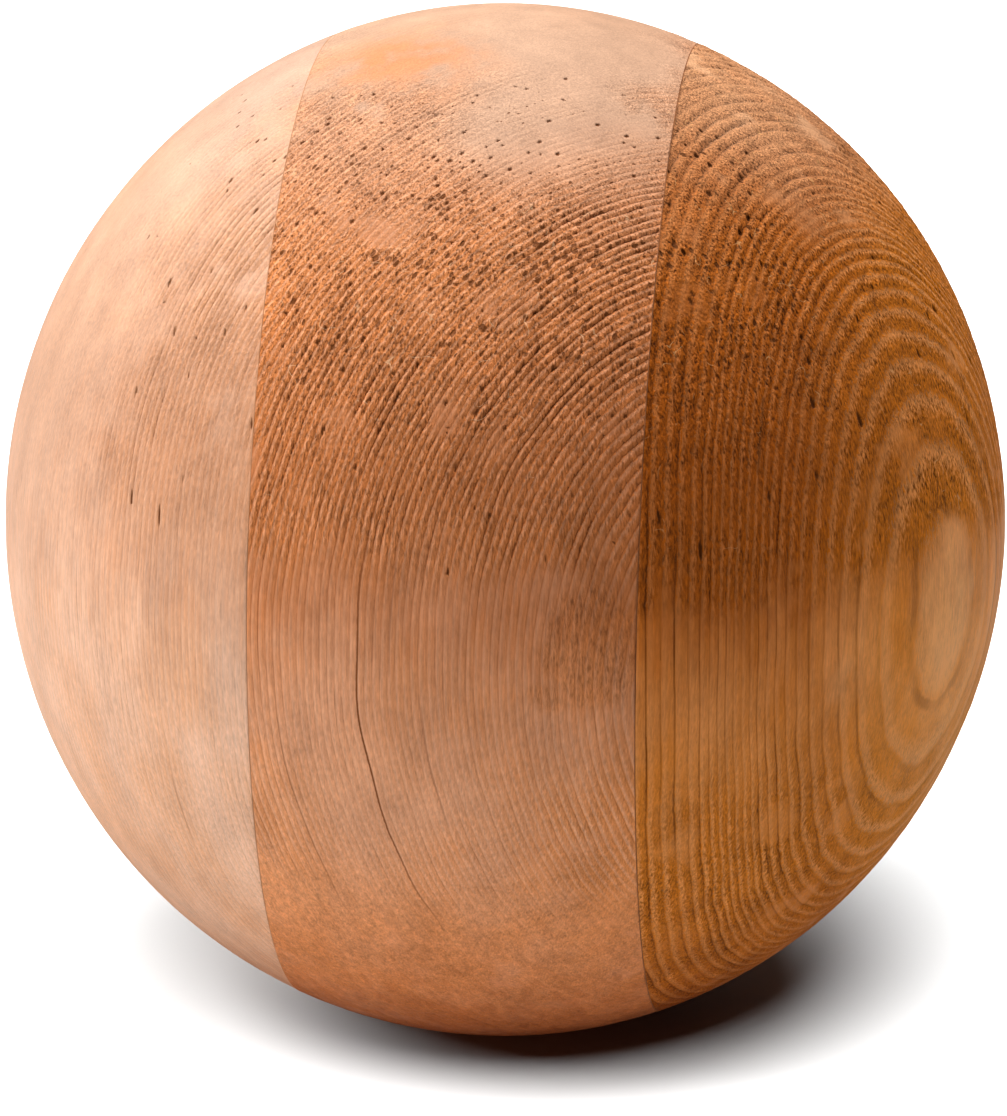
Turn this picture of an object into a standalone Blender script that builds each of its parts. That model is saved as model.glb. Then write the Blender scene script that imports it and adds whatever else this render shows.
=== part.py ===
"""Wooden croquet ball, turned from a block of three boards glued face to face.

Frame: origin at the centre of the ball, +Z along the grain of the boards, and +X
square to the glue lines, from the left board towards the right one. Metres.
"""

import bpy

# Driving dimensions
LENGTH_ALONG_GRAIN = 0.0921     # regulation croquet ball, 3 5/8 inch
SHRINKAGE_ACROSS_GRAIN = 0.034  # the wood dried after turning, which narrows it across the grain only
BOARD_THICKNESS = 0.0318        # the boards were planed to 1 1/4 inch
GLUE_THICKNESS = 0.0002
CLEARANCE = 0.0003              # between a board and the glue film that it is bedded on

# Worked out from the driving dimensions
WIDTH_ACROSS_GRAIN = LENGTH_ALONG_GRAIN * (1.0 - SHRINKAGE_ACROSS_GRAIN)
GLUE_OFFSET = BOARD_THICKNESS / 2.0
FACE_SETBACK = GLUE_THICKNESS / 2.0 + CLEARANCE
BLOCK_SIZE = 1.5 * LENGTH_ALONG_GRAIN

# Smoothness of the turned surface
SEGMENTS = 96
RINGS = 48

# Colour and roughness of each material
LEFT_WOOD = ((0.66, 0.38, 0.22), 0.55)
CENTRE_WOOD = ((0.52, 0.23, 0.12), 0.6)
RIGHT_WOOD = ((0.38, 0.15, 0.045), 0.55)
GLUE = ((0.16, 0.075, 0.03), 0.4)


def remove_everything():
    for old_object in list(bpy.data.objects):
        bpy.data.objects.remove(old_object, do_unlink=True)


def new_collection(name):
    collection = bpy.data.collections.new(name)
    bpy.context.scene.collection.children.link(collection)
    return collection


def move_to(collection, piece):
    for old_collection in list(piece.users_collection):
        old_collection.objects.unlink(piece)
    collection.objects.link(piece)


def new_material(name, colour, roughness):
    material = bpy.data.materials.new(name)
    material.use_nodes = True
    shader = material.node_tree.nodes["Principled BSDF"]
    shader.inputs["Base Color"].default_value = (*colour, 1.0)
    shader.inputs["Roughness"].default_value = roughness
    shader.inputs["Metallic"].default_value = 0.0
    return material


def turned_ball(name, collection):
    """The outer form of the whole ball, a little narrower across the grain than along it."""
    bpy.ops.mesh.primitive_uv_sphere_add(segments=SEGMENTS, ring_count=RINGS, radius=0.5)
    ball = bpy.context.object
    ball.name = name
    ball.scale = (WIDTH_ACROSS_GRAIN, WIDTH_ACROSS_GRAIN, LENGTH_ALONG_GRAIN)
    bpy.ops.object.transform_apply(location=False, rotation=False, scale=True)
    ball.data.shade_smooth()
    move_to(collection, ball)
    return ball


def slab_cutter(name, low_x, high_x, collection):
    """A rough-sawn slab between two faces square to X, as wide and as long as the glued block."""
    bpy.ops.mesh.primitive_cube_add(size=1.0, location=((low_x + high_x) / 2.0, 0.0, 0.0))
    slab = bpy.context.object
    slab.name = name
    slab.scale = (high_x - low_x, BLOCK_SIZE, BLOCK_SIZE)
    bpy.ops.object.transform_apply(location=False, rotation=False, scale=True)
    slab.hide_render = True
    slab.display_type = "WIRE"
    move_to(collection, slab)
    return slab


def layer(name, low_x, high_x, material, parts, cutters):
    """The layer of the ball that lies between two planes square to X."""
    piece = turned_ball(name, parts)
    cut = piece.modifiers.new("layer", "BOOLEAN")
    cut.operation = "INTERSECT"
    cut.solver = "EXACT"
    cut.object = slab_cutter(name + "_slab", low_x, high_x, cutters)
    piece.data.materials.append(material)
    return piece


def left_board(parts, cutters):
    wood = new_material("left_wood", *LEFT_WOOD)
    layer("left_board", -BLOCK_SIZE / 2.0, -GLUE_OFFSET - FACE_SETBACK, wood, parts, cutters)


def centre_board(parts, cutters):
    wood = new_material("centre_wood", *CENTRE_WOOD)
    half_width = GLUE_OFFSET - FACE_SETBACK
    layer("centre_board", -half_width, half_width, wood, parts, cutters)


def right_board(parts, cutters):
    wood = new_material("right_wood", *RIGHT_WOOD)
    layer("right_board", GLUE_OFFSET + FACE_SETBACK, BLOCK_SIZE / 2.0, wood, parts, cutters)


def glue_lines(parts, cutters):
    """The two cured films of glue that hold the boards together."""
    half_film = GLUE_THICKNESS / 2.0
    for side, centre_x in (("left", -GLUE_OFFSET), ("right", GLUE_OFFSET)):
        glue = new_material(side + "_glue", *GLUE)
        layer(side + "_glue_line", centre_x - half_film, centre_x + half_film, glue, parts, cutters)


def build_croquet_ball():
    remove_everything()
    parts = new_collection("croquet_ball")
    cutters = new_collection("cutters")
    left_board(parts, cutters)
    centre_board(parts, cutters)
    right_board(parts, cutters)
    glue_lines(parts, cutters)


build_croquet_ball()
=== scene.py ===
"""Looks for the laminated wooden croquet ball.

Each board is a dense mesh of the turned surface, with the relief that turning and sanding
leave in soft wood: raised latewood, torn earlywood, pits and a sanded band. Growth rings are
cylinders about the pith of the tree that the board came from. The same ring count drives the
relief and the colour, because it is stored on the mesh as an attribute.
"""

import collections
import itertools
import math
import types

import bpy
import numpy as np
from mathutils import Matrix, Vector


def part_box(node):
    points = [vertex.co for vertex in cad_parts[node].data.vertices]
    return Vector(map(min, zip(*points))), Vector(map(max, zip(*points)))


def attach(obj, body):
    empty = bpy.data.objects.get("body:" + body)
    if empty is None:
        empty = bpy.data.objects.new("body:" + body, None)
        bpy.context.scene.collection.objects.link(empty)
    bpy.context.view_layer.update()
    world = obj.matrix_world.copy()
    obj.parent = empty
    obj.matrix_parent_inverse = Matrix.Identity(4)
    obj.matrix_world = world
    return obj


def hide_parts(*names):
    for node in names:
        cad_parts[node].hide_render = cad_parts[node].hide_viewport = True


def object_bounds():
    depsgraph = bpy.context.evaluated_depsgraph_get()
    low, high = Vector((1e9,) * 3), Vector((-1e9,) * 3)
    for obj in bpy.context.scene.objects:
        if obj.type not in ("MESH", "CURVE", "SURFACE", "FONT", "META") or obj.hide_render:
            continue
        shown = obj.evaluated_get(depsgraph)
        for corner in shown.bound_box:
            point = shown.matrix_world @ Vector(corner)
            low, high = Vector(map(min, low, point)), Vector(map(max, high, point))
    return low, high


MM = 0.001

# Camera: where the photographer stood, relative to the ball
CAMERA_AZIMUTH = 0.1233         # radians, from -Y towards +X
CAMERA_ELEVATION = 0.243        # radians
CAMERA_ROLL = 0.0129            # radians
CAMERA_DISTANCE = 9.365         # in ball radii across the grain
CAMERA_LENS = 150.2             # mm
CAMERA_SENSOR = 36.0            # mm, its height
CAMERA_AIM = (-0.0029, -0.0743)  # aim point right of and above the ball's centre, in ball radii

# Mesh
VERTEX_SPACING = 0.14 * MM      # in the upper half, where the grain is torn
COARSER_BELOW = 1.6             # times that spacing in the lower half, which is smooth
SPACING_TABLE_STEPS = 4001      # fineness of the table that spaces the vertices
RIM_GAP = 0.004 * MM            # between a board and the glue film
RIM_ROUNDING = 0.14 * MM        # how far from the glue film a board starts to round off
RELIEF_AT_RIM = 0.3             # share of the relief that is left at the rim
GLUE_WIDTH = 0.08 * MM
GLUE_STEPS = 1800               # points round a glue film
GLUE_DEPTH = 1.3                # depth of a glue film, in recesses of the wood beside it
# Profile of a glue film's edge: (offset in film widths, extra depth)
GLUE_PROFILE = ((-0.5, 0.02 * MM), (-0.25, 0.005 * MM), (0.25, 0.005 * MM), (0.5, 0.02 * MM))
SHARP_ANGLE = math.radians(65.0)

# Recess along the glue lines
CLOSED_SEAM = 0.01 * MM
OPEN_SEAM = 0.1 * MM            # more, where the right glue line has opened on the front
OPEN_SEAM_FADES = ((-0.16, -0.08), (0.5, 0.1))  # radians of latitude: its lower end and its upper end
SEAM_RAGGED_SIZE = 1.6 * MM
SEAM_SEED = 77

# Brightness of the wood by latitude in radians: painted shadow at the bottom near the floor, painted
# light from the floor below the middle, and darker just above the middle, partly as painted shade of the
# torn relief
PAINTED_LIGHT_AND_SHADE_BY_LATITUDE = ((-1.2, 0.30), (-0.75, 0.88), (-0.5, 1.08), (-0.25, 1.09), (-0.06, 1.02),
                    (0.08, 0.87), (0.3, 0.80), (0.5, 0.85), (0.7, 0.95), (1.0, 0.97), (1.3, 0.98))

# Ring pattern
RING_TABLE_REACH = 200.0        # mm from the pith
RING_TABLE_STEPS = 8001
FIRST_COUNT = 1000.0            # ring count of the first ring, which keeps every count above 0
RING_WANDER_SIZE = 14.0 * MM    # length over which a ring strays from a circle
RING_RIPPLE = 0.10              # mm
RING_RIPPLE_SIZE = (2.2 * MM, 2.2 * MM, 5.0 * MM)
RING_JITTER = 0.10              # how far tufts push the ring count on torn wood
GROOVE_AT = 0.12                # where in a ring the groove is deepest, from 0 to 1
GROOVE_SHAPE = 0.7              # below 1 the ridge is rounder than a sine
FAINT_FADE = 0.25               # radians over which the rings fade out

# Pattern of the small pits, in rows along the grooves
PIT_SPACING = (0.95, 5.0)       # mm round the ring and up the grain
PIT_HALF_SIZE = (0.16, 0.14)    # of that spacing: the smallest pit, and how much more the largest has
PIT_PLACE_IN_RING = (0.1, 0.15)  # share of the ring width: the lowest, and how much further it may be
SMALL_PIT_SHARE = 0.8           # share of the places that hold a small pit where pitting is 1
SMALL_PIT_DEPTH = 0.6           # of a large one
# Pattern of the larger pits, which cross several rings
OPEN_PIT_SPACING = (1.5, 1.4, 4.5)  # mm across the rings, round them and up the grain
OPEN_PIT_HALF_SIZE = (0.09, 0.12)
OPEN_PIT_SHARE = 0.07

# Depth of the relief
RIDGE_HEIGHT = 0.23 * MM
RIDGE_WHERE_SMOOTH = 0.06       # share of the ridge height that sanding leaves
PIT_DEPTH = 0.26 * MM
TUFT_HEIGHT = 0.06 * MM
TUFT_SIZE = (0.30 * MM, 0.30 * MM, 0.9 * MM)
TORN_DEPTH = 0.05 * MM          # how far torn wood sits below smooth wood
TURNING_ERROR = 0.09 * MM
TURNING_ERROR_SIZE = 22.0 * MM

# Wear
WEAR_STRAY_SIZE = 9.0 * MM      # how the edges of worn places wander
WEAR_FINE_STRAY_SIZE = 2.5 * MM
FLAT_SIZE = 4.5 * MM            # small sanded flats on torn wood
CROWN_AND_SHEEN_LATITUDES = (0.62, 1.1)   # radians, where the pale crown and its painted sheen fade in
CROWN_STRAY_SIZE = 12.0 * MM
FUZZ_AS_TORN = 0.30             # a fuzzy place is streaked like wood this torn, at a hatching of 1

# Checks, which are cracks along a ring
CHECK_REACH = 0.6               # mm from a check's line where its depth is still stored
FAR_FROM_CHECK = 1000.0         # mm

# Patterns and bump heights of the materials
DASH_SIZE = 0.18 * MM
CLUMP_SIZE = 0.9 * MM
FIBRE_SIZE = 0.16 * MM
MOTTLE_SIZE = 4.0 * MM
HUE_SIZE = 7.0 * MM
GRIT_SIZE = 0.55 * MM
CURL_SIZE = 1.3 * MM
CURL_PATCH_SIZE = 1.7 * MM
PIT_CELLS = (1.15, 0.32, 0.18)  # cells for each mm of arc, shift in rings, cells for each mm of height
WOOD_BUMP = 0.06 * MM
GLUE_MOTTLE_SIZE = 2.5 * MM
GLUE_BUMP = 0.05 * MM

# Lights on the ball: name, azimuth, elevation, brightness of white paper that faces it, and softness.
# All angles are in degrees. left_front is the light that the bright floor in front throws upward.
BALL_LIGHTS = (
    ("key", 270.0, 52.0, 0.75, 30.0),
    ("side", 268.0, 8.0, 0.31, 50.0),
    ("high_back", 225.0, 75.0, 0.80, 50.0),
    ("top", 0.0, 85.0, 0.22, 50.0),
    ("left_front", 315.0, -25.0, 0.28, 60.0),
    ("right_back", 115.0, 50.0, 0.36, 50.0),
)
# Lights on the floor only, which keep the shadow compact
FLOOR_LIGHTS = (
    ("floor_front", 0.0, 52.0, 3.9, 40.0),
    ("floor_high", 30.0, 72.0, 1.7, 40.0),
    ("floor_left", 300.0, 40.0, 2.0, 40.0),
)
# The floor is lit hard and is overexposed. It is a mid grey, and darker still for the light it
# throws on the ball, so that its shadow stays deep.
FLOOR_TO_CAMERA = 0.40
FLOOR_TO_BALL = 0.11
FLOOR_GRAIN = 0.03              # share by which the floor's grey varies
FLOOR_GRAIN_SIZE = 1.1 * MM
FLOOR_SIZE = 6.0                # metres
ROOM_BRIGHT_SIDE = (-0.45, 0.65, 0.61)
ROOM_DARK = 0.0
ROOM_BRIGHT = 0.10


# ---------------------------------------------------------------- frame

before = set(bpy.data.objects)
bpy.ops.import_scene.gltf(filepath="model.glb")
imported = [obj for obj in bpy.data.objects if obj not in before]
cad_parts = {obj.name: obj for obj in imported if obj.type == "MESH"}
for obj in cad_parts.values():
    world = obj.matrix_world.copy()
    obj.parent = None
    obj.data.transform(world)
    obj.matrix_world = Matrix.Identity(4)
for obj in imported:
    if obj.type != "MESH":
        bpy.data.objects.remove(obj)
cad_low, cad_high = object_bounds()
CENTRE = (cad_low + cad_high) / 2.0
ACROSS = (cad_high.x - cad_low.x) / 2.0     # semi-axis across the grain
ALONG = (cad_high.z - cad_low.z) / 2.0      # semi-axis along the grain
GLUE_X = {side: (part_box(side + "_glue_line")[0].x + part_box(side + "_glue_line")[1].x) / 2.0
          for side in ("left", "right")}


# ---------------------------------------------------------------- noise

LAYER_SEED_STEP = 17            # seeds between the layers of layered noise


def lattice_random(corner, seed):
    """A repeatable random number from 0 to 1 for each row of whole numbers, from an integer hash."""
    primes = (374761393, 668265263, 3266489917)
    mixed = np.full(corner.shape[0], (seed * 2654435761) % 4294967296, dtype=np.uint32)
    for axis in range(corner.shape[1]):
        mixed ^= corner[:, axis].astype(np.int64).astype(np.uint32) * np.uint32(primes[axis])
    mixed = (mixed ^ (mixed >> np.uint32(15))) * np.uint32(2246822519)
    mixed = (mixed ^ (mixed >> np.uint32(13))) * np.uint32(3266489917)
    mixed ^= mixed >> np.uint32(16)
    return mixed / 4294967295.0


def smooth_noise(points, size, seed):
    """Noise from -1 to 1 that changes over about size, a length or one length per axis."""
    scaled = points / np.asarray(size)
    base = np.floor(scaled)
    part = scaled - base
    fade = part * part * part * (part * (part * 6.0 - 15.0) + 10.0)
    total = np.zeros(len(points))
    for step in itertools.product((0, 1), repeat=points.shape[1]):
        weight = np.ones(len(points))
        for axis, shift in enumerate(step):
            weight *= fade[:, axis] if shift else 1.0 - fade[:, axis]
        total += weight * lattice_random(base + step, seed)
    return 2.0 * total - 1.0


def layered_noise(points, size, seed, layers=3):
    """Several sizes of noise added up, each half the size and half the height of the one before."""
    total = np.zeros(len(points))
    for layer in range(layers):
        finer = 2.0 ** layer
        total += smooth_noise(points, np.asarray(size) / finer, seed + LAYER_SEED_STEP * layer) / finer
    return total / (2.0 - 2.0 ** (1 - layers))


def smooth_step(low, high, value):
    part = np.clip((value - low) / (high - low), 0.0, 1.0)
    return part * part * (3.0 - 2.0 * part)


# ---------------------------------------------------------------- boards

Wear = collections.namedtuple("Wear", (      # an oval place on a board that is worn unlike the rest; a few are painted sheen
    "centre",           # azimuth and latitude, in radians
    "half_size",
    "softness",         # width of its edge
    "torn",             # this and the rest run from 0 to 1
    "pitted",
    "pale",
    "orange",
    "fuzzy"), defaults=(0.0, 0.0, 0.0, 0.0))

Check = collections.namedtuple("Check", (    # a crack along a ring that opened when the wood dried
    "radius",           # distance from the pith, in ball radii
    "latitudes",        # lowest and highest, in radians
    "depth"))           # how dark it is, from 0 to 1

Board = collections.namedtuple("Board", (    # where a board's tree grew its rings, and how it is worn
    "name",
    "seed",
    "pith",             # (x, y) of the pith level with the ball's centre, in ball radii
    "slope",            # how far the pith leans per unit of height
    "sweep",            # how much it curves
    "ring_widths",      # (distance from the pith, ring width), both in mm
    "first_ring",       # distance in mm from the pith to where one ring starts
    "wobble",           # how far a ring strays from a circle, in mm
    "wear",             # each a Wear
    "checks",           # each a Check
    "torn_above",       # latitude in radians above which sanding left the grain torn
    "tears",            # how readily the grain tears, up to 1
    "faint_below",      # latitude in radians below which the rings hardly show
    "tone_across"))     # (x in ball radii, brightness): painted light from the left on the centre board; on the right board, darker inner wood and painted sheen towards its outer edge; never dark below the middle

LEFT_BOARD = Board(
    "left_board", 101, pith=(-0.155, -1.01), slope=(-0.01, -0.02), sweep=(0.0, 0.0),
    ring_widths=((0.0, 0.65), (20.0, 0.7), (40.0, 0.6), (90.0, 0.8)), first_ring=16.2, wobble=0.35,
    wear=(Wear((-0.66, 0.66), (0.36, 0.40), 0.6, torn=0.45, pitted=0.30),
          Wear((-0.62, 1.05), (0.30, 0.16), 0.6, torn=0.4, pitted=0.3, orange=0.8),
          # the pale place on the upper left limb is painted sheen
          Wear((-1.15, 0.45), (0.35, 0.50), 0.8, torn=0.12, pale=0.8)),
    checks=(Check(0.43, (-0.47, -0.31), 0.5),),
    torn_above=0.10, tears=0.22, faint_below=-1.6, tone_across=((-1.0, 1.0), (-0.4, 1.0)))
CENTRE_BOARD = Board(
    "centre_board", 202, pith=(1.061, -1.372), slope=(-0.082, -0.287), sweep=(0.27, -0.018),
    ring_widths=((36.0, 0.55), (48.0, 0.6), (58.0, 0.64), (70.0, 0.72), (90.0, 0.8)), first_ring=56.4,
    wobble=0.3,
    wear=(Wear((0.06, 0.72), (0.50, 0.25), 0.6, torn=1.0, pitted=1.0),
          Wear((-0.34, 0.92), (0.30, 0.22), 0.6, torn=0.95, pitted=0.7, pale=0.1, orange=0.1),
          Wear((0.30, 1.02), (0.40, 0.17), 0.5, torn=0.25, pitted=0.45, pale=0.35),
          Wear((0.40, 1.34), (0.70, 0.16), 0.9, torn=0.05, pale=0.8),
          Wear((-0.55, 1.22), (0.45, 0.14), 0.8, torn=0.1, orange=1.0),
          # the pale place low on the left of the front is painted sheen from the lights on the left
          Wear((-0.12, -0.28), (0.24, 0.30), 0.9, torn=0.12, pale=0.4),
          Wear((0.290, 0.020), (0.095, 0.120), 0.25, torn=0.15, orange=0.7, fuzzy=1.0),
          Wear((0.195, -0.075), (0.035, 0.035), 0.4, torn=0.15, orange=0.5, fuzzy=0.7)),
    checks=(Check(1.268, (-0.60, 0.30), 1.0), Check(1.155, (-0.35, -0.10), 0.5),
            Check(1.43, (-0.60, -0.10), 0.4), Check(1.21, (-0.05, 0.22), 0.4)),
    torn_above=0.10, tears=1.0, faint_below=-0.32, tone_across=((-0.36, 1.04), (0.0, 1.0), (0.36, 0.94)))
RIGHT_BOARD = Board(
    "right_board", 303, pith=(1.70, -0.81), slope=(-0.01, -0.07), sweep=(0.0, 0.0),
    ring_widths=((40.0, 1.65), (43.0, 1.3), (45.5, 1.05), (48.0, 0.8), (51.0, 0.6), (54.0, 0.66),
                 (56.5, 1.15), (60.0, 1.1), (75.0, 1.3)), first_ring=41.5, wobble=0.25,
    wear=(Wear((0.62, 0.78), (0.30, 0.26), 0.5, torn=1.0, pitted=0.8, orange=0.3),
          Wear((1.10, -0.02), (0.24, 0.16), 0.5, torn=0.15),
          Wear((1.12, 0.26), (0.24, 0.14), 0.5, torn=0.75),
          Wear((0.75, -0.72), (0.55, 0.36), 0.6, torn=0.5, orange=0.3),
          Wear((1.148, -0.007), (0.096, 0.144), 0.3, torn=0.0, pale=0.6),
          Wear((0.815, -0.08), (0.035, 0.035), 0.4, torn=0.0, pale=0.5)),
    checks=(Check(1.14, (0.30, 0.43), 0.9), Check(1.12, (-0.52, -0.42), 0.8)),
    torn_above=0.02, tears=1.0, faint_below=-1.6,
    tone_across=((0.36, 0.82), (0.62, 0.84), (0.78, 1.18), (0.92, 1.34), (1.0, 1.26)))


def ring_places(board, points):
    """Ring count from the pith (whole where a ring starts), mm round the ring, mm up the grain and
    mm from the pith."""
    height = points[:, 2] / ACROSS
    across = []
    for axis in range(2):
        pith = board.pith[axis] + board.slope[axis] * height + board.sweep[axis] * height ** 2
        across.append(points[:, axis] - pith * ACROSS)
    radius = np.hypot(across[0], across[1]) / MM
    radius += board.wobble * layered_noise(points, RING_WANDER_SIZE, board.seed)
    radius += RING_RIPPLE * smooth_noise(points, RING_RIPPLE_SIZE, board.seed + 5)
    table = np.linspace(0.0, RING_TABLE_REACH, RING_TABLE_STEPS)
    widths = np.interp(table, *zip(*board.ring_widths))
    counts = np.concatenate(([0.0], np.cumsum((table[1] - table[0]) / widths[:-1])))
    first = np.interp(board.first_ring, table, counts)
    count = np.interp(radius, table, counts) - first + FIRST_COUNT
    inward = np.array(board.pith) / math.hypot(*board.pith)
    angle = np.arctan2(across[0] * inward[1] - across[1] * inward[0],
                       -across[0] * inward[0] - across[1] * inward[1])
    return count, angle * radius, points[:, 2] / MM, radius


def azimuth_and_latitude(points):
    """Angles round the ball: azimuth from -Y towards +X, and latitude up from the middle."""
    azimuth = np.arctan2(points[:, 0], -points[:, 1])
    latitude = np.arcsin(np.clip(points[:, 2] / ALONG, -1.0, 1.0))
    return azimuth, latitude


def patch(azimuth, latitude, centre, half_size, softness):
    """1 inside an oval patch on the ball, 0 outside it."""
    gap = np.hypot((azimuth - centre[0]) / half_size[0], (latitude - centre[1]) / half_size[1])
    return smooth_step(1.0 + softness, 1.0 - softness, gap)


def torn_by_latitude(board, latitude, stray, fine_stray):
    """How torn the grain is before the board's own places are added: most above the middle, least
    on the top and in the sanded band, and a little below that band."""
    lower_edge = board.torn_above + 0.06 * stray + 0.04 * fine_stray
    torn = 0.5 * smooth_step(lower_edge - 0.04, lower_edge + 0.12, latitude)
    torn += 0.3 * smooth_step(0.25, 0.6, latitude + 0.1 * stray)
    torn *= smooth_step(1.34, 1.10, latitude + 0.12 * stray)
    torn = np.maximum(torn, 0.28 * smooth_step(-0.08, -0.35, latitude + 0.08 * stray))
    return torn * board.tears


def wear_maps(board, points):
    """How torn, pitted, pale, orange and fuzzy the wood is at each point, each from 0 to 1. Some of the
    pale is painted sheen.
    """
    azimuth, latitude = azimuth_and_latitude(points)
    stray = layered_noise(points, WEAR_STRAY_SIZE, board.seed + 11)
    fine_stray = layered_noise(points, WEAR_FINE_STRAY_SIZE, board.seed + 12)
    torn = torn_by_latitude(board, latitude, stray, fine_stray)
    maps = {"torn": torn, "pitted": 0.35 * torn * (latitude > 0.0), "pale": np.zeros(len(points)),
            "orange": np.zeros(len(points)), "fuzzy": np.zeros(len(points))}
    for place in board.wear:
        wander = 0.125 * place.softness
        inside = patch(azimuth + wander * fine_stray, latitude + wander * stray, place.centre,
                       place.half_size, place.softness)
        for key, values in maps.items():
            maps[key] = values + inside * (getattr(place, key) - values)
    flats = smooth_step(0.12, 0.6, layered_noise(points, FLAT_SIZE, board.seed + 13, 4))
    maps["torn"] = np.clip(maps["torn"] * (1.0 - 0.7 * flats) * (1.0 + 0.35 * fine_stray), 0.0, 1.0)
    maps["pitted"] = np.clip(maps["pitted"] * (1.0 - 0.6 * flats) * (1.0 + 0.6 * fine_stray), 0.0, 1.0)
    maps["pale"] = np.maximum(maps["pale"], 0.15 * flats * smooth_step(0.1, 0.3, latitude))
    return maps


def cracks(board, radius, latitude):
    offset = np.full(len(radius), FAR_FROM_CHECK)
    depth = np.zeros(len(radius))
    for check in board.checks:
        low, high = check.latitudes
        across = radius - check.radius * ACROSS / MM
        along = np.clip(1.0 - ((latitude - (low + high) / 2.0) / ((high - low) / 2.0)) ** 2, 0.0, 1.0)
        nearest = np.abs(across) < np.abs(offset)
        offset = np.where(nearest, across, offset)
        depth = np.where(nearest, check.depth * np.sqrt(along) * (np.abs(across) < CHECK_REACH), depth)
    return offset, depth


def groove(count):
    """Depth from 0 to 1 across a ring: a narrow groove where the soft earlywood starts, between
    round ridges."""
    part = count - np.floor(count)
    return 1.0 - np.abs(np.sin(math.pi * (part - GROOVE_AT))) ** GROOVE_SHAPE


def pits_in_grooves(count, arc, height, density, seed):
    """Depth from 0 to 1 of the small pits where earlywood tore out, in rows along the grooves."""
    ring = np.floor(count)
    part = count - ring
    cells = np.stack([arc / PIT_SPACING[0], height / PIT_SPACING[1]], axis=1)
    base = np.floor(cells)
    depth = np.zeros(len(count))
    for step in itertools.product((-1, 0, 1), repeat=2):
        corner = np.column_stack([base + step, ring])
        stray = np.column_stack([lattice_random(corner, seed), lattice_random(corner, seed + 1)])
        middle = base + step + 0.15 + 0.7 * stray
        size = PIT_HALF_SIZE[0] + PIT_HALF_SIZE[1] * lattice_random(corner, seed + 2) ** 2
        centre = PIT_PLACE_IN_RING[0] + PIT_PLACE_IN_RING[1] * lattice_random(corner, seed + 3)
        gap = ((cells[:, 0] - middle[:, 0]) / size) ** 2
        gap += ((cells[:, 1] - middle[:, 1]) / (1.2 * size)) ** 2
        gap += ((part - centre) / (0.15 + 0.5 * size)) ** 2
        pit = np.clip(1.0 - gap, 0.0, 1.0) ** 0.7 * (0.4 + 1.6 * size)
        depth = np.maximum(depth, np.where(lattice_random(corner, seed + 4) < density, pit, 0.0))
    return np.clip(depth, 0.0, 1.0)


def open_pits(radius, arc, height, density, seed):
    """Depth from 0 to 1 of the larger pits that cross several rings."""
    places = np.stack([radius, arc, height], axis=1) / OPEN_PIT_SPACING
    base = np.floor(places)
    depth = np.zeros(len(places))
    for step in itertools.product((-1, 0, 1), repeat=3):
        corner = base + step
        gap = np.zeros(len(places))
        size = OPEN_PIT_HALF_SIZE[0] + OPEN_PIT_HALF_SIZE[1] * lattice_random(corner, seed + 3) ** 3
        for axis in range(3):
            middle = corner[:, axis] + 0.2 + 0.6 * lattice_random(corner, seed + axis)
            gap += ((places[:, axis] - middle) / size) ** 2
        pit = np.clip(1.0 - gap, 0.0, 1.0) ** 0.6 * (0.5 + 2.0 * size)
        depth = np.maximum(depth, np.where(lattice_random(corner, seed + 4) < density, pit, 0.0))
    return depth


def ring_strength(board, points, ring, arc, height, faint):
    """How clearly each ring shows: it differs from ring to ring, along a ring and over the board."""
    strength = 0.35 + 0.65 * lattice_random(ring[:, None], board.seed + 21) ** 1.5
    stretches = np.stack([ring, arc / 3.0, height / 5.0], axis=1)
    strength *= np.clip(0.9 + 0.6 * smooth_noise(stretches, 1.0, board.seed + 22), 0.25, 1.4)
    strength *= np.clip(0.8 + 0.7 * layered_noise(points, 16.0 * MM, board.seed + 24), 0.2, 1.2)
    return strength * (1.0 - 0.8 * faint)


def tone(board, points, latitude, bead):
    """Brightness of the wood from its latitude and its place across the board: mostly painted light and
    shade, with some of the wood's own tone.
    """
    across = np.interp(points[:, 0] / ACROSS, *zip(*board.tone_across))
    across += smooth_step(0.1, -0.25, latitude) * (np.maximum(across, 1.0) - across)
    return np.interp(latitude + 0.05 * bead, *zip(*PAINTED_LIGHT_AND_SHADE_BY_LATITUDE)) * across


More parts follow.
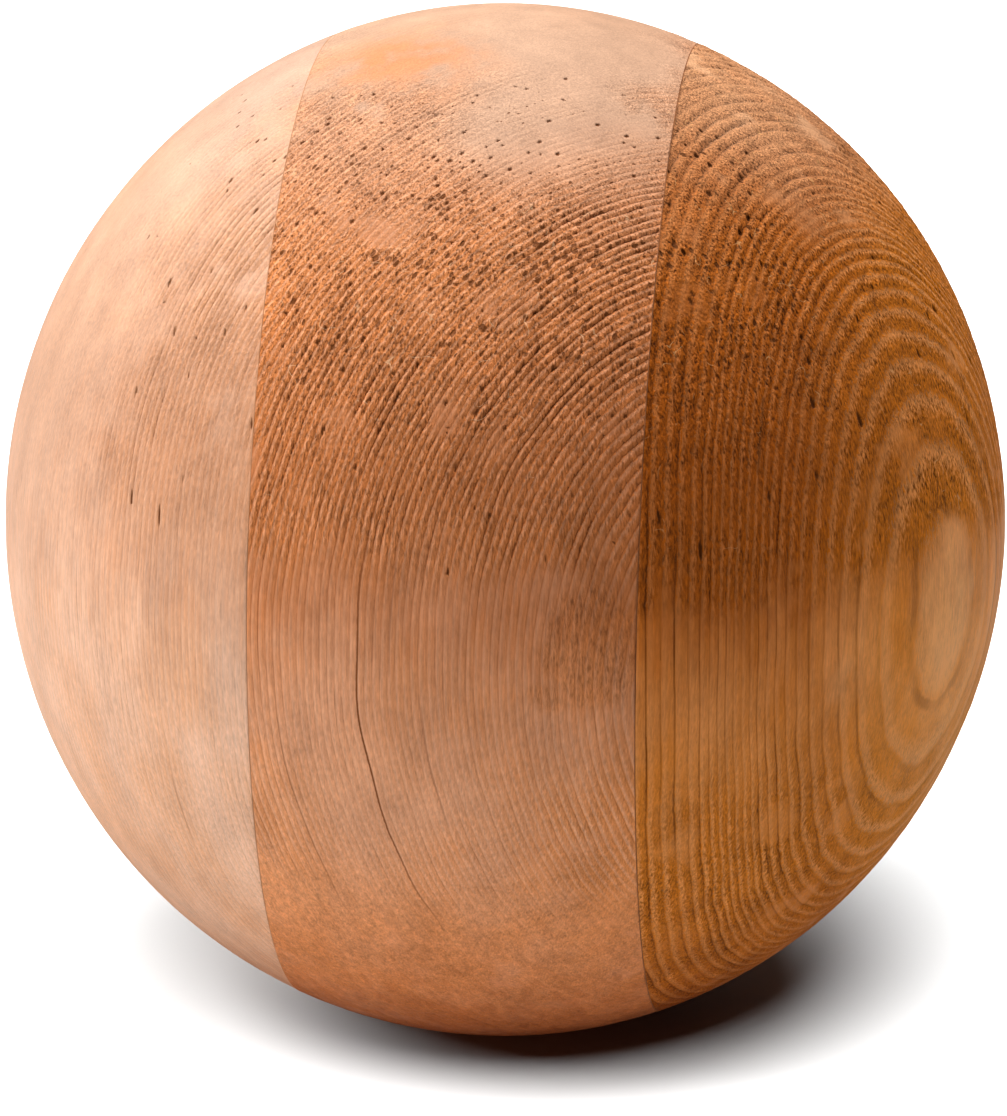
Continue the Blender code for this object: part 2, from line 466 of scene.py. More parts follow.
def weathered(board, points):
    """Relief in metres and the attributes that the wood material reads, at each surface point."""
    count, arc, height, radius = ring_places(board, points)
    latitude = azimuth_and_latitude(points)[1]
    maps = wear_maps(board, points)
    torn = maps["torn"]
    tufts = smooth_noise(points, TUFT_SIZE, board.seed + 51)
    count += RING_JITTER * torn * tufts
    ring = np.floor(count)
    edge = latitude + 0.1 * layered_noise(points, CROWN_STRAY_SIZE, board.seed + 25)
    faint = smooth_step(board.faint_below, board.faint_below - FAINT_FADE, edge)
    strength = ring_strength(board, points, ring, arc, height, faint)
    beads = np.stack([ring, arc / 0.9, height / 1.8], axis=1)
    bead = smooth_noise(beads, 1.0, board.seed + 23)
    small = pits_in_grooves(count, arc, height, SMALL_PIT_SHARE * maps["pitted"], board.seed + 31)
    share = OPEN_PIT_SHARE * smooth_step(0.4, 0.9, maps["pitted"])
    pits = np.maximum(SMALL_PIT_DEPTH * small, open_pits(radius, arc, height, share, board.seed + 41))
    crack_offset, crack_depth = cracks(board, radius, latitude)
    ridge_share = RIDGE_WHERE_SMOOTH + (1.0 - RIDGE_WHERE_SMOOTH) * torn
    relief = -RIDGE_HEIGHT * groove(count) * strength * ridge_share
    relief -= PIT_DEPTH * pits
    relief += TUFT_HEIGHT * torn * (tufts + 0.8 * bead)
    relief -= TORN_DEPTH * torn
    relief += TURNING_ERROR * layered_noise(points, TURNING_ERROR_SIZE, board.seed + 61)
    top = latitude + 0.10 * layered_noise(points, CROWN_STRAY_SIZE, board.seed + 71)
    attributes = {"ring_count": count, "arc_length": arc, "torn_grain": torn, "pitting": maps["pitted"],
                  "pit_depth": pits, "ring_strength": strength, "bead": bead,
                  "crown": smooth_step(*CROWN_AND_SHEEN_LATITUDES, top), "pale": maps["pale"],
                  "orange": maps["orange"], "fuzzy": maps["fuzzy"], "crack_offset": crack_offset,
                  "crack_depth": crack_depth, "faint": faint,
                  "tone": tone(board, points, latitude, bead)}
    return relief, attributes


# ---------------------------------------------------------------- meshes

def surface_point(unit):
    """Points on the turned ball in the directions of points on a unit sphere."""
    return unit * np.array([ACROSS, ACROSS, ALONG])


def surface_normal(points):
    normal = points / np.array([ACROSS, ACROSS, ALONG]) ** 2
    return normal / np.linalg.norm(normal, axis=1, keepdims=True)


def quads_between(index, after):
    """Quads between the rows of index, where after holds the next point along each row."""
    return np.stack([index[:-1], after[:-1], after[1:], index[1:]], axis=-1).reshape(-1, 4)


def uneven_steps(low, high, length, rise):
    """Values from low to high, close together where rise(value) is above 0. length is metres for
    each unit."""
    table = np.linspace(low, high, SPACING_TABLE_STEPS)
    spacing = VERTEX_SPACING * (1.0 + (COARSER_BELOW - 1.0) * smooth_step(0.1, -0.1, rise(table)))
    steps = np.concatenate(([0.0], np.cumsum((table[1] - table[0]) * length / spacing[:-1])))
    return np.interp(np.linspace(0.0, steps[-1], int(steps[-1]) + 1), steps, table)


def band_directions(low_x, high_x):
    """A grid of directions on the band between two values of x, closed round the X axis."""
    turn = uneven_steps(0.0, 2.0 * math.pi, ALONG, np.sin)[:-1]
    around = len(turn)
    over = int((high_x - low_x) / VERTEX_SPACING)
    x = np.linspace(low_x, high_x, over) / ACROSS
    turn, x = np.meshgrid(turn, x)
    ring = np.sqrt(1.0 - x ** 2)
    unit = np.stack([x, ring * np.cos(turn), ring * np.sin(turn)], axis=-1).reshape(-1, 3)
    index = np.arange(around * over).reshape(over, around)
    quads = quads_between(index, np.roll(index, -1, axis=1))
    return unit, quads, [index[0], index[-1][::-1]]


def cap_directions(edge_x, side):
    """A square grid mapped to the cap beyond edge_x, on the +X side or the -X side of the ball."""
    spread = math.acos(abs(edge_x) / ACROSS)
    across = np.linspace(-1.0, 1.0, int(2.0 * spread * ACROSS / VERTEX_SPACING))
    upward = uneven_steps(-1.0, 1.0, spread * ACROSS, np.positive)
    u, v = np.meshgrid(across, upward)
    wide = np.abs(u) >= np.abs(v)
    reach = np.where(wide, np.abs(u), np.abs(v))
    with np.errstate(divide="ignore", invalid="ignore"):
        turn = np.where(wide, v / u * math.pi / 4.0, math.pi / 2.0 - u / v * math.pi / 4.0)
    turn = np.nan_to_num(turn) + np.where(np.where(wide, u, v) < 0.0, math.pi, 0.0)
    tilt = reach * spread
    unit = np.stack([side * np.cos(tilt), side * np.sin(tilt) * np.cos(turn),
                     np.sin(tilt) * np.sin(turn)], axis=-1)
    index = np.arange(u.size).reshape(u.shape)
    quads = quads_between(index[:, :-1], index[:, 1:])
    rim = np.concatenate([index[0, :-1], index[:-1, -1], index[-1, :0:-1], index[:0:-1, 0]])
    return unit.reshape(-1, 3), quads, [rim]


def new_mesh(name, points, quads, rims, attributes):
    """A closed mesh: the surface's quads, and a flat face on each rim made of triangles to its
    middle."""
    middles = np.array([points[rim].mean(axis=0) for rim in rims])
    points = np.vstack([points, middles])
    triangles = []
    for number, rim in enumerate(rims):
        middle = np.full(len(rim), len(points) - len(rims) + number)
        triangles.append(np.stack([np.roll(rim, -1), rim, middle], axis=1))
    triangles = np.concatenate(triangles)
    corners = np.concatenate([quads.ravel(), triangles.ravel()])
    sizes = np.concatenate([np.full(len(quads), 4), np.full(len(triangles), 3)])
    starts = np.concatenate([[0], np.cumsum(sizes)[:-1]])
    mesh = bpy.data.meshes.new(name)
    mesh.vertices.add(len(points))
    mesh.vertices.foreach_set("co", points.astype(np.float32).ravel())
    mesh.loops.add(len(corners))
    mesh.loops.foreach_set("vertex_index", corners.astype(np.int32))
    mesh.polygons.add(len(sizes))
    mesh.polygons.foreach_set("loop_start", starts.astype(np.int32))
    for key, values in attributes.items():
        layer = mesh.attributes.new(key, "FLOAT", "POINT")
        padded = np.concatenate([values, np.zeros(len(middles))])
        layer.data.foreach_set("value", padded.astype(np.float32))
    mesh.update(calc_edges=True)
    mesh.validate()
    mesh.shade_smooth()
    mesh.set_sharp_from_angle(angle=SHARP_ANGLE)
    return mesh


def add_object(name, mesh, material):
    piece = bpy.data.objects.new(name, mesh)
    bpy.context.scene.collection.objects.link(piece)
    mesh.materials.append(material)
    return piece


def seam_recess(points):
    """How far the wood sits below the turned surface right beside a glue line, in metres."""
    latitude = azimuth_and_latitude(points)[1]
    opened = smooth_step(*OPEN_SEAM_FADES[0], latitude) * smooth_step(*OPEN_SEAM_FADES[1], latitude)
    opened *= (points[:, 0] > 0.0) * (points[:, 1] < 0.0)
    ragged = 0.6 + 0.4 * smooth_noise(points, SEAM_RAGGED_SIZE, SEAM_SEED)
    return (CLOSED_SEAM + OPEN_SEAM * opened) * ragged


def board_piece(board, directions, material):
    """The visible board. Its rim is a little rounded where the turning met the glue line."""
    unit, quads, rims = directions
    points = surface_point(unit)
    relief, attributes = weathered(board, points)
    to_glue = np.minimum(np.abs(points[:, 0] - GLUE_X["left"]), np.abs(points[:, 0] - GLUE_X["right"]))
    inside = smooth_step(0.0, RIM_ROUNDING, to_glue - GLUE_WIDTH / 2.0)
    relief *= RELIEF_AT_RIM + (1.0 - RELIEF_AT_RIM) * inside
    relief -= seam_recess(points) * (1.0 - inside)
    normal = surface_normal(points)
    normal[:, 0] *= inside
    points = points + normal * relief[:, None]
    mesh = new_mesh(board.name, points, quads, rims, attributes)
    return add_object(board.name + "_wood", mesh, material)


def glue_piece(side, stain, material):
    """The cured film of glue: a thin disc that ends a little below the surface of the boards."""
    x = GLUE_X[side]
    turn = np.linspace(0.0, 2.0 * math.pi, GLUE_STEPS, endpoint=False)
    ring = math.sqrt(1.0 - (x / ACROSS) ** 2)
    unit = np.stack([np.full(GLUE_STEPS, x / ACROSS), ring * np.cos(turn), ring * np.sin(turn)], axis=1)
    circle = surface_point(unit)
    loops = []
    for offset, extra_depth in GLUE_PROFILE:
        depth = GLUE_DEPTH * seam_recess(circle) + extra_depth
        loop = circle * (1.0 - depth / ACROSS)[:, None]
        loop[:, 0] = x + offset * GLUE_WIDTH
        loops.append(loop)
    points = np.concatenate(loops)
    index = np.arange(len(points)).reshape(len(loops), GLUE_STEPS)
    quads = quads_between(index, np.roll(index, -1, axis=1))
    mesh = new_mesh(side + "_glue", points, quads, [index[0], index[-1][::-1]],
                    {"stain": np.full(len(points), stain)})
    return add_object(side + "_glue_film", mesh, material)


# ---------------------------------------------------------------- materials

class Nodes:
    """A material's node tree, with short calls to add and join nodes."""

    def __init__(self, name):
        self.material = bpy.data.materials.new(name)
        self.material.use_nodes = True
        self.tree = self.material.node_tree
        self.shader = self.tree.nodes["Principled BSDF"]

    def add(self, kind, inputs=(), **settings):
        node = self.tree.nodes.new("ShaderNode" + kind)
        for key, value in settings.items():
            setattr(node, key, value)
        for socket, value in dict(inputs).items():
            self.feed(node.inputs[socket], value)
        return node

    def feed(self, socket, value):
        if isinstance(value, bpy.types.NodeSocket):
            self.tree.links.new(value, socket)
        else:
            socket.default_value = value

    def finish(self, inputs):
        """The material, once the inputs of its shader are fed."""
        for name, value in inputs.items():
            self.feed(self.shader.inputs[name], value)
        return self.material

    def attribute(self, name):
        return self.add("Attribute", attribute_name=name).outputs["Fac"]

    def math(self, operation, first, second=0.0, third=0.0):
        return self.add("Math", {0: first, 1: second, 2: third}, operation=operation).outputs[0]

    def times(self, *factors):
        product = factors[0]
        for factor in factors[1:]:
            product = self.math("MULTIPLY", product, factor)
        return product

    def plus_products(self, total, *pairs):
        """total, plus the product of each pair."""
        for first, second in pairs:
            total = self.math("MULTIPLY_ADD", first, second, total)
        return total

    def highest(self, first, second):
        return self.math("MAXIMUM", first, second)

    def centred(self, noise):
        """Noise from 0 to 1, moved so that its middle is 0."""
        return self.math("SUBTRACT", noise, 0.5)

    def remap(self, value, low, high, to_low=0.0, to_high=1.0):
        """value from low to high, eased to run from to_low to to_high and held there beyond."""
        node = self.add("MapRange", {0: value, 1: low, 2: high, 3: to_low, 4: to_high})
        node.interpolation_type = "SMOOTHSTEP"
        return node.outputs[0]

    def height(self):
        """Metres up the grain from the ball's centre."""
        place = self.add("TexCoord").outputs["Object"]
        return self.add("SeparateXYZ", {0: place}).outputs[2]

    def noise(self, size, stretch=(1.0, 1.0, 1.0), detail=2.0, roughness=0.5):
        """Noise with features of about size metres. A low third value of stretch draws it out along
        the grain."""
        place = self.add("TexCoord").outputs["Object"]
        mapping = self.add("Mapping", {"Vector": place, "Scale": stretch}, vector_type="POINT")
        texture = self.add("TexNoise", {"Vector": mapping.outputs[0], "Scale": 1.0 / size,
                                        "Detail": detail, "Roughness": roughness})
        return texture.outputs["Fac"]

    def mix(self, factor, first, second, blend="MIX"):
        node = self.add("Mix", data_type="RGBA", blend_type=blend)
        self.feed(node.inputs["Factor"], factor)
        self.feed(node.inputs[6], first)
        self.feed(node.inputs[7], second)
        return node.outputs[2]

    def bump(self, height, strength, distance):
        return self.add("Bump", {"Strength": strength, "Distance": distance, "Height": height}).outputs[0]


def colour(red, green, blue):
    return (red, green, blue, 1.0)


def grey(level):
    return colour(level, level, level)


WoodLook = collections.namedtuple("WoodLook", (
    "sanded",           # smooth wood varies between this colour and warm
    "warm",             # also the colour of an orange place
    "line",             # a ring line on smooth wood
    "torn_high",        # a ridge of torn wood
    "torn_low",         # a groove of torn wood, dark with dirt and painted shade
    # pit: dark wood inside a pit, with painted shade
    "pit",
    "pale",             # a crest of latewood with its painted highlight, a sanded flat, and painted sheen
    "crown",            # the top of the ball: pale wood with painted sheen
    "loose",            # a curled fibre
    "line_strength",    # how clearly the ring lines show
    "crest",            # how clearly the crests of latewood show, with a painted highlight along each ridge
    "hatching",         # how strongly torn fibres streak the wood, in colour and in painted shading
    "specular"))        # how much white light the surface throws back

LEFT_LOOK = WoodLook(
    sanded=colour(0.70, 0.385, 0.235), warm=colour(0.66, 0.31, 0.15), line=colour(0.44, 0.21, 0.10),
    torn_high=colour(0.56, 0.265, 0.13), torn_low=colour(0.36, 0.145, 0.05),
    pit=colour(0.28, 0.11, 0.035), pale=colour(0.68, 0.42, 0.29), crown=colour(0.56, 0.355, 0.255),
    loose=colour(0.75, 0.50, 0.34), line_strength=0.6, crest=0.45, hatching=0.45, specular=0.4)
CENTRE_LOOK = WoodLook(
    sanded=colour(0.63, 0.255, 0.115), warm=colour(0.58, 0.195, 0.057), line=colour(0.30, 0.085, 0.022),
    torn_high=colour(0.57, 0.20, 0.062), torn_low=colour(0.24, 0.062, 0.012),
    pit=colour(0.15, 0.042, 0.009), pale=colour(0.66, 0.34, 0.20), crown=colour(0.54, 0.345, 0.235),
    loose=colour(0.75, 0.44, 0.24), line_strength=0.7, crest=0.55, hatching=0.75, specular=0.09)
RIGHT_LOOK = WoodLook(
    sanded=colour(0.66, 0.235, 0.058), warm=colour(0.55, 0.16, 0.015), line=colour(0.20, 0.05, 0.003),
    torn_high=colour(0.43, 0.115, 0.005), torn_low=colour(0.15, 0.036, 0.001),
    pit=colour(0.07, 0.018, 0.002), pale=colour(0.64, 0.255, 0.08), crown=colour(0.82, 0.50, 0.30),
    loose=colour(0.68, 0.34, 0.13), line_strength=0.9, crest=0.6, hatching=0.95, specular=0.08)

# Two colours that each glue film varies between
CLEAN_GLUE = (colour(0.44, 0.21, 0.10), colour(0.58, 0.29, 0.155))
STAINED_GLUE = (colour(0.17, 0.06, 0.02), colour(0.30, 0.11, 0.04))


def wood_grain(nodes, look):
    """The values that the colour, the shade and the bump of the wood share."""
    grain = types.SimpleNamespace()
    grain.torn = nodes.attribute("torn_grain")
    grain.fuzzy = nodes.attribute("fuzzy")
    grain.faint = nodes.attribute("faint")
    grain.crown = nodes.attribute("crown")
    grain.count = nodes.attribute("ring_count")
    grain.rough = nodes.highest(grain.torn, nodes.times(grain.fuzzy, FUZZ_AS_TORN / look.hatching))
    grain.dashes = nodes.noise(DASH_SIZE, (1.0, 1.0, 0.26), 2.0, 0.55)
    grain.clumps = nodes.noise(CLUMP_SIZE, (1.0, 1.0, 0.5), 2.0, 0.6)
    grain.fibres = nodes.noise(FIBRE_SIZE, (1.0, 1.0, 0.04), 2.0, 0.6)
    grain.mottle = nodes.noise(MOTTLE_SIZE, (1.0, 1.0, 0.5), 4.0, 0.6)
    jag_share = nodes.remap(grain.rough, 0.0, 0.7, 0.10, look.hatching)
    grain.jag = nodes.times(nodes.centred(grain.dashes), jag_share)
    grain.part = nodes.math("FRACT", nodes.math("ADD", grain.count, grain.jag))
    thin_part = nodes.math("FRACT", nodes.plus_products(grain.count, (grain.jag, 0.35)))
    strength = nodes.attribute("ring_strength")
    grain.early = nodes.times(nodes.remap(grain.part, 0.0, 0.06), nodes.remap(grain.part, 0.40, 0.10),
                              strength, nodes.remap(grain.clumps, 0.35, 0.6, 0.45, 1.0))
    grain.thin = nodes.times(nodes.remap(thin_part, 0.0, 0.04), nodes.remap(thin_part, 0.20, 0.09),
                             strength)
    return grain


def pit_rows(nodes, grain):
    """Dark dots in rows along the rings, which fill in between the modelled pits, from 0 to 1. They are
    pits painted with their shade, without relief.
    """
    cells = nodes.add("CombineXYZ", {0: nodes.times(nodes.attribute("arc_length"), PIT_CELLS[0]),
                                     1: nodes.math("ADD", grain.count, PIT_CELLS[1]),
                                     2: nodes.times(nodes.height(), PIT_CELLS[2] / MM)})
    dots = nodes.add("TexVoronoi", {"Vector": cells.outputs[0], "Scale": 1.0, "Randomness": 0.7})
    size = nodes.times(nodes.math("SUBTRACT", nodes.attribute("pitting"), 0.1),
                       nodes.remap(grain.clumps, 0.3, 0.65, 0.22, 0.42))
    return nodes.remap(nodes.math("SUBTRACT", dots.outputs["Distance"], size), 0.02, -0.08)


def gashes(nodes, look, grain):
    """Short dark tears in the soft part of the rings, from 0 to 1."""
    in_early = nodes.times(nodes.remap(grain.part, 0.0, 0.1), nodes.remap(grain.part, 0.85, 0.4))
    torn = nodes.plus_products(grain.torn, (grain.fuzzy, 0.4))
    return nodes.times(nodes.remap(grain.dashes, 0.46, 0.33), nodes.remap(in_early, 0.0, 1.0, 0.3, 1.0),
                       nodes.remap(torn, 0.3, 1.0, 0.0, look.hatching),
                       nodes.remap(grain.crown, 0.2, 0.8, 1.0, 0.15))


def drying_checks(nodes, grain):
    """How dark the drying checks are, from 0 to 1."""
    away = nodes.math("ABSOLUTE", nodes.plus_products(nodes.attribute("crack_offset"), (grain.jag, 0.7)))
    return nodes.times(nodes.remap(away, 0.12, 0.03), nodes.attribute("crack_depth"))


def curled_fibres(nodes, grain):
    """Thin curled fibres that stand loose on torn wood, from 0 to 1."""
    curl = nodes.math("ABSOLUTE", nodes.centred(nodes.noise(CURL_SIZE, detail=0.0)))
    patches = nodes.remap(nodes.noise(CURL_PATCH_SIZE), 0.58, 0.64)
    return nodes.times(nodes.remap(curl, 0.022, 0.006), patches,
                       nodes.remap(grain.torn, 0.4, 0.8, 0.0, 0.6))


def wood_colour(nodes, look, grain):
    """The wood's colour from its rings and its wear, before the shade. It also holds painted light:
    highlights on the crests of latewood, sheen on the crown and on some pale places, and shade along with
    dirt in the grooves of torn wood.
    """
    hue = nodes.noise(HUE_SIZE, (1.0, 1.0, 0.4), 3.0, 0.6)
    lines = nodes.highest(grain.thin, nodes.times(grain.early, 0.25))
    smooth = nodes.mix(nodes.remap(hue, 0.3, 0.7), look.sanded, look.warm)
    smooth = nodes.mix(nodes.times(lines, look.line_strength), smooth, look.line)
    grooves = nodes.highest(nodes.times(grain.thin, 0.85), nodes.times(grain.early, 0.6))
    rough = nodes.mix(nodes.remap(hue, 0.3, 0.7, 0.0, 0.4), look.torn_high, look.warm)
    rough = nodes.mix(nodes.remap(grooves, 0.0, 0.85, 0.0, 0.9), rough, look.torn_low)
    base = nodes.mix(nodes.remap(grain.torn, 0.0, 0.5), smooth, rough)
    crest = nodes.times(nodes.remap(grain.part, 0.45, 0.8), nodes.remap(grain.part, 1.0, 0.92),
                        nodes.remap(grain.faint, 0.0, 1.0, 1.0, 0.1),
                        nodes.remap(grain.torn, 0.0, 0.6, 0.6 * look.crest, look.crest))
    base = nodes.mix(crest, base, look.pale)
    base = nodes.mix(nodes.attribute("pale"), base, look.pale)
    top = nodes.times(grain.crown, nodes.remap(grain.torn, 0.2, 0.9, 0.85, 0.5))
    base = nodes.mix(top, base, look.crown)
    orange = nodes.times(nodes.attribute("orange"), nodes.remap(grain.mottle, 0.35, 0.6, 0.1, 0.7))
    base = nodes.mix(orange, base, look.warm)
    return nodes.mix(gashes(nodes, look, grain), base, look.torn_low)


def wood_shade(nodes, look, grain):
    """A colour that the wood's colour is multiplied by: streaks of torn fibres with their painted
    shading, painted highlights on beads, grit, and the painted light and shade of the place, by latitude
    and across the board. Where it is darker it is also warmer."""
    grit = nodes.noise(GRIT_SIZE, (1.0, 1.0, 0.6), 3.0, 0.65)
    streaks_and_painted_relief = nodes.plus_products(
        1.0,
        # streaks of torn fibres, with their painted shading
        (nodes.centred(grain.dashes), nodes.remap(grain.rough, 0.0, 0.8, 0.4, 2.6 * look.hatching)),
        (nodes.centred(grain.fibres), 0.6),
        (nodes.centred(grain.mottle), 0.6),
        # painted highlights on the beads of torn wood
        (nodes.attribute("bead"), nodes.remap(grain.torn, 0.2, 0.8, 0.0, 0.12)),
        (nodes.centred(grit), nodes.remap(grain.faint, 0.0, 1.0, 0.15, 0.95)),
        (grain.fuzzy, -0.10))
    tone = nodes.attribute("tone")
    red = nodes.add("Clamp", {0: nodes.times(streaks_and_painted_relief, tone), 1: 0.3, 2: 1.5}).outputs[0]
    green = nodes.times(red, nodes.math("POWER", tone, 0.5))
    blue = nodes.times(red, tone)
    return nodes.add("CombineColor", {0: red, 1: green, 2: blue}).outputs[0]


def wood_material(name, look):
    """Softwood, drawn from the attributes that weathered() puts on a board's mesh."""
    nodes = Nodes(name)
    grain = wood_grain(nodes, look)
    # Pits, modelled and painted in rows, take the pit colour: dark wood and painted shade.
    hollow = nodes.highest(nodes.remap(nodes.attribute("pit_depth"), 0.05, 0.4, 0.0, 0.95),
                           nodes.times(pit_rows(nodes, grain), 0.85))
    base = nodes.mix(1.0, wood_colour(nodes, look, grain), wood_shade(nodes, look, grain), "MULTIPLY")
    base = nodes.mix(hollow, base, look.pit)
    base = nodes.mix(drying_checks(nodes, grain), base, nodes.mix(0.5, look.torn_low, look.pit))
    base = nodes.mix(curled_fibres(nodes, grain), base, look.loose)
    roughness = nodes.highest(nodes.remap(grain.rough, 0.0, 0.6, 0.45, 0.75), nodes.times(hollow, 0.9))
    roughness = nodes.math("ADD", roughness, nodes.remap(grain.fibres, 0.3, 0.7, -0.05, 0.08))
    height = nodes.plus_products(
        0.0,
        (grain.fibres, nodes.remap(grain.rough, 0.0, 0.7, 0.4, 1.0)),
        (grain.dashes, nodes.remap(grain.rough, 0.0, 0.7, 0.2, 4.5 * look.hatching)),
        (grain.thin, nodes.remap(grain.torn, 0.0, 0.7, -0.15, -0.8)),
        (hollow, -2.0))
    return nodes.finish({"Base Color": base, "Roughness": roughness,
                         "Specular IOR Level": look.specular,
                         "Normal": nodes.bump(height, 0.9, WOOD_BUMP)})


def glue_material():
    """Cured glue: pale beside the light wood, and stained brown beside the dark wood."""
    nodes = Nodes("cured_glue")
    mottle = nodes.noise(GLUE_MOTTLE_SIZE, detail=3.0)
    share = nodes.remap(mottle, 0.3, 0.7)
    base = nodes.mix(nodes.attribute("stain"), nodes.mix(share, *CLEAN_GLUE),
                     nodes.mix(share, *STAINED_GLUE))
    return nodes.finish({"Base Color": base, "Roughness": nodes.remap(mottle, 0.3, 0.7, 0.5, 0.75),
                         "Specular IOR Level": 0.1, "Normal": nodes.bump(mottle, 0.5, GLUE_BUMP)})


def floor_material():
    """A white sweep, overexposed as the camera sees it."""
    nodes = Nodes("white_sweep")
    grain = nodes.noise(FLOOR_GRAIN_SIZE, detail=2.0)
    base = nodes.mix(grain, grey((1.0 - FLOOR_GRAIN) * FLOOR_TO_BALL),
                     grey((1.0 + FLOOR_GRAIN) * FLOOR_TO_BALL))
    bright = nodes.add("BsdfDiffuse", {"Color": grey(FLOOR_TO_CAMERA)})
    seen = nodes.add("LightPath").outputs["Is Camera Ray"]
    mix = nodes.add("MixShader", {0: seen, 1: nodes.shader.outputs[0], 2: bright.outputs[0]})
    nodes.feed(nodes.tree.nodes["Material Output"].inputs["Surface"], mix.outputs[0])
    return nodes.finish({"Base Color": base, "Roughness": 0.6, "Specular IOR Level": 0.2})


# ---------------------------------------------------------------- stage

def build_floor():
    """A wide white surface that the ball touches at its lowest point."""
    bpy.ops.mesh.primitive_plane_add(size=FLOOR_SIZE, location=(0.0, 0.0, cad_low.z))
    floor = bpy.context.object
    floor.name = "white_floor"
    floor.data.materials.append(floor_material())
    return floor


def towards(azimuth, elevation):
    """The direction at an azimuth from -Y towards +X and an elevation, both in radians."""
    return Vector((math.sin(azimuth) * math.cos(elevation), -math.cos(azimuth) * math.cos(elevation),
                   math.sin(elevation)))


def build_camera():
    """The camera, rolled a little about its axis and aimed a little off the ball's centre."""
    back = towards(CAMERA_AZIMUTH, CAMERA_ELEVATION)
    level = Vector((math.cos(CAMERA_AZIMUTH), math.sin(CAMERA_AZIMUTH), 0.0))
    upward = back.cross(level)
    right = math.cos(CAMERA_ROLL) * level + math.sin(CAMERA_ROLL) * upward
    up = -math.sin(CAMERA_ROLL) * level + math.cos(CAMERA_ROLL) * upward
    data = bpy.data.cameras.new("camera")
    data.sensor_fit = "VERTICAL"
    data.sensor_height = CAMERA_SENSOR
    data.sensor_width = CAMERA_SENSOR
    data.lens = CAMERA_LENS
    camera = bpy.data.objects.new("camera", data)
    bpy.context.scene.collection.objects.link(camera)
    camera.location = CENTRE + back * (CAMERA_DISTANCE * ACROSS)
    target = CENTRE + right * (CAMERA_AIM[0] * ACROSS) + up * (CAMERA_AIM[1] * ACROSS)
    view_back = (camera.location - target).normalized()
    view_right = up.cross(view_back).normalized()
    view_up = view_back.cross(view_right)
    camera.rotation_mode = "QUATERNION"
    camera.rotation_quaternion = Matrix((view_right, view_up, view_back)).transposed().to_quaternion()
    bpy.context.scene.camera = camera


def soft_light(name, azimuth, elevation, strength, softness):
    """A broad light far away, as a row of BALL_LIGHTS or FLOOR_LIGHTS describes it."""
    data = bpy.data.lights.new(name, "SUN")
    data.angle = math.radians(softness)
    data.energy = math.pi * strength
    light = bpy.data.objects.new(name, data)
    bpy.context.scene.collection.objects.link(light)
    light.rotation_mode = "QUATERNION"
    direction = towards(math.radians(azimuth), math.radians(elevation))
    light.rotation_quaternion = direction.to_track_quat("Z", "Y")
    return light


def floor_receivers(name, floor, state):
    """A collection that limits a light to the floor, or keeps it off the floor."""
    receivers = bpy.data.collections.new(name)
    receivers.objects.link(floor)
    receivers.collection_objects[0].light_linking.link_state = state
    return receivers


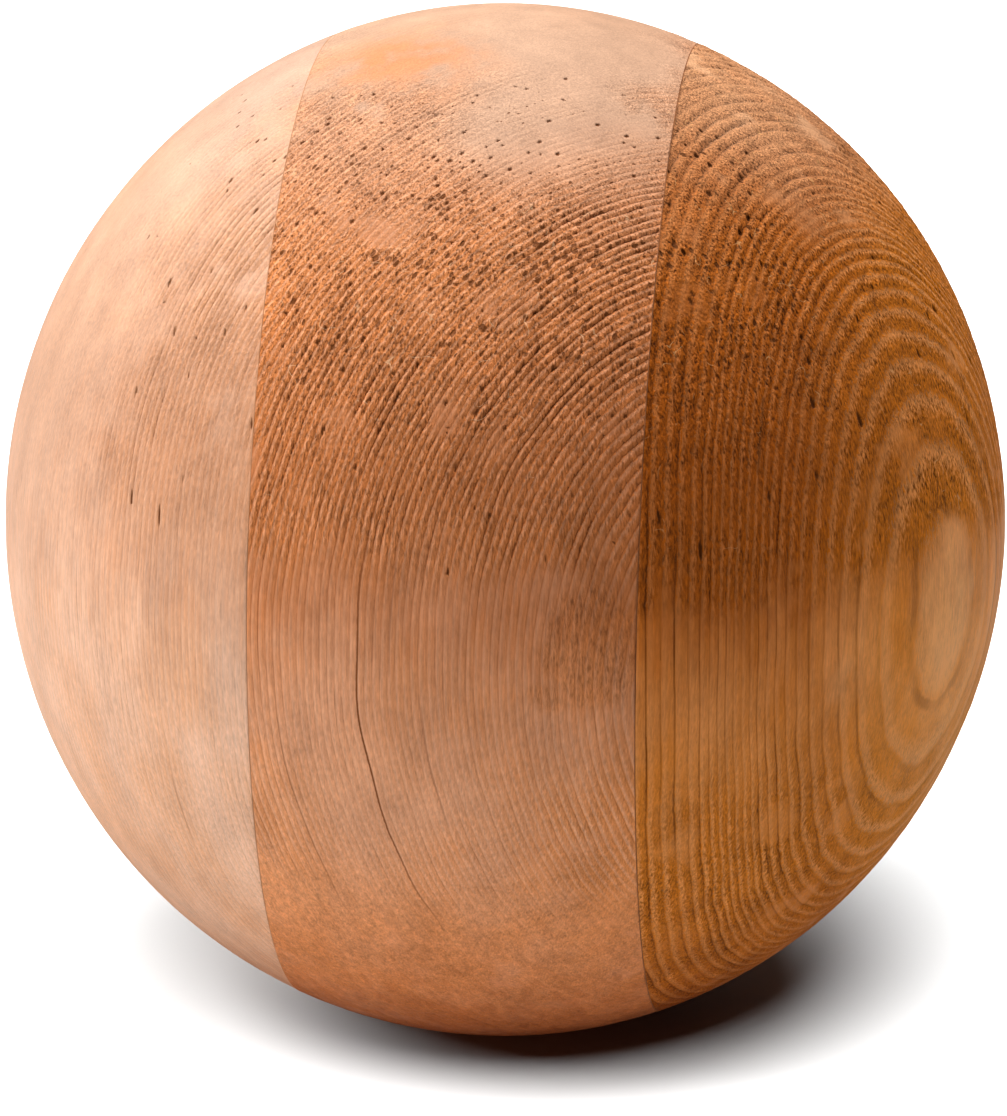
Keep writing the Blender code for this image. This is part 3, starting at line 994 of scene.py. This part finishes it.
def build_world():
    """A room that is bright behind, above and left of the ball, on a white ground for the camera."""
    world = bpy.data.worlds.new("studio")
    bpy.context.scene.world = world
    world.use_nodes = True
    tree = world.node_tree
    room = tree.nodes["Background"]
    direction = tree.nodes.new("ShaderNodeTexCoord")
    facing = tree.nodes.new("ShaderNodeVectorMath")
    facing.operation = "DOT_PRODUCT"
    facing.inputs[1].default_value = ROOM_BRIGHT_SIDE
    tree.links.new(direction.outputs["Generated"], facing.inputs[0])
    level = tree.nodes.new("ShaderNodeMapRange")
    for socket, value in ((1, 0.0), (2, 1.0), (3, ROOM_DARK), (4, ROOM_BRIGHT)):
        level.inputs[socket].default_value = value
    tree.links.new(facing.outputs["Value"], level.inputs[0])
    tree.links.new(level.outputs[0], room.inputs["Strength"])
    room.inputs["Color"].default_value = grey(1.0)
    ground = tree.nodes.new("ShaderNodeBackground")
    ground.inputs["Color"].default_value = grey(1.0)
    seen = tree.nodes.new("ShaderNodeLightPath")
    mix = tree.nodes.new("ShaderNodeMixShader")
    tree.links.new(seen.outputs["Is Camera Ray"], mix.inputs[0])
    tree.links.new(room.outputs[0], mix.inputs[1])
    tree.links.new(ground.outputs[0], mix.inputs[2])
    tree.links.new(mix.outputs[0], tree.nodes["World Output"].inputs["Surface"])


def build_lights(floor):
    """Soft lights on the ball, others on the floor, and the room. The floor doesn't block the
    ball's lights, because one of them stands in for light that comes up from the floor."""
    only_floor = floor_receivers("only_floor", floor, "INCLUDE")
    not_floor = floor_receivers("not_floor", floor, "EXCLUDE")
    for settings in BALL_LIGHTS:
        linking = soft_light(*settings).light_linking
        linking.receiver_collection = not_floor
        linking.blocker_collection = not_floor
    for settings in FLOOR_LIGHTS:
        soft_light(*settings).light_linking.receiver_collection = only_floor
    build_world()
    bpy.context.scene.view_settings.view_transform = "Standard"


# ---------------------------------------------------------------- assembly

def build_ball():
    """Three boards and the two glue films between them. Each board ends a rim gap short of its film."""
    to_board = GLUE_WIDTH / 2.0 + RIM_GAP
    left_cap = cap_directions(GLUE_X["left"] - to_board, -1.0)
    band = band_directions(GLUE_X["left"] + to_board, GLUE_X["right"] - to_board)
    right_cap = cap_directions(GLUE_X["right"] + to_board, 1.0)
    left = board_piece(LEFT_BOARD, left_cap, wood_material("left_wood", LEFT_LOOK))
    centre = board_piece(CENTRE_BOARD, band, wood_material("centre_wood", CENTRE_LOOK))
    right = board_piece(RIGHT_BOARD, right_cap, wood_material("right_wood", RIGHT_LOOK))
    for piece, node, slot in ((left, "left_board", "left_wood"), (centre, "centre_board", "centre_wood"),
                              (right, "right_board", "right_wood")):
        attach(piece, "root")
        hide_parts(node)
    glue = glue_material()
    for side, stain in (("left", 0.0), ("right", 1.0)):
        film = glue_piece(side, stain, glue)
        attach(film, "root")
        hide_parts(side + "_glue_line")


build_ball()
build_lights(build_floor())
build_camera()
